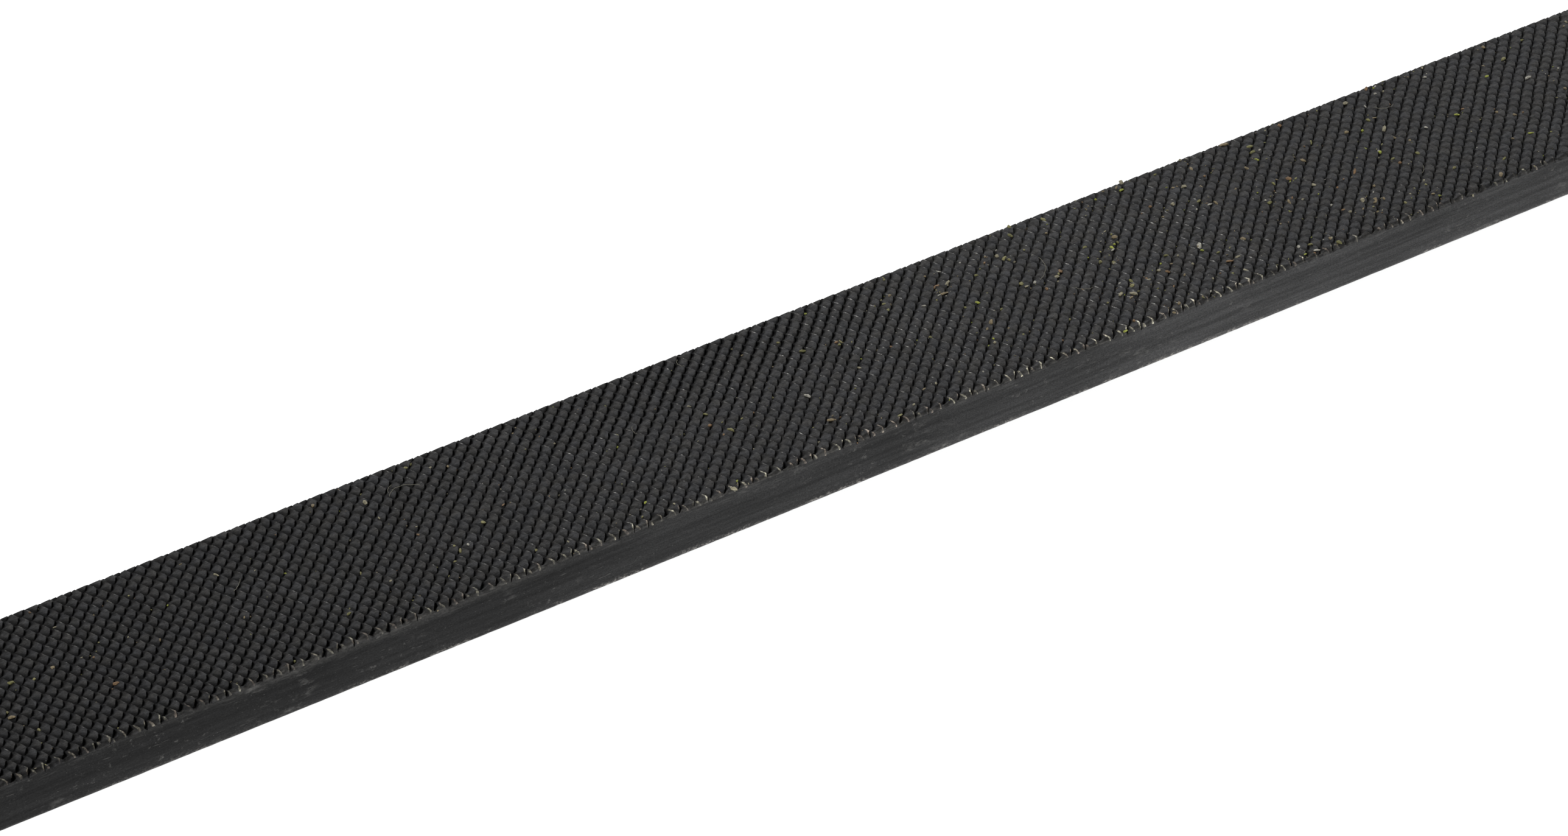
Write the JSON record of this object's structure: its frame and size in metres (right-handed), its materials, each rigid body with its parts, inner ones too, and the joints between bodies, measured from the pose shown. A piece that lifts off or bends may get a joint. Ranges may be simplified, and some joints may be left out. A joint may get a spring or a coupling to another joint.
{
  "type": "flat file",
  "caption": "Flat hand file: a long thin steel blade with double-cut faces and a smooth safe edge, its tapered tang driven into a flat-sided wooden handle with a steel ferrule.",
  "frame": {"origin": "centre of the handle's flat butt, on the tool's long axis", "axes": "+X along the tool from the butt to the file's point, +Y across the blade away from its smooth edge, +Z out of the upper face"},
  "size_m": [0.26, 0.0244, 0.0244],
  "materials": {
    "file_steel": "hardened dark grey tool steel, matt in the teeth and ground smooth on the safe edge",
    "handle_wood": "beech under thin clear varnish, turned at both ends and planed to eight flats along the grip",
    "ferrule_steel": "bright zinc plate with fine turned lines"
  },
  "bodies": {
    "root": {"file_blade": "file_steel", "handle": "handle_wood", "ferrule": "ferrule_steel"}
  },
  "joints": []
}
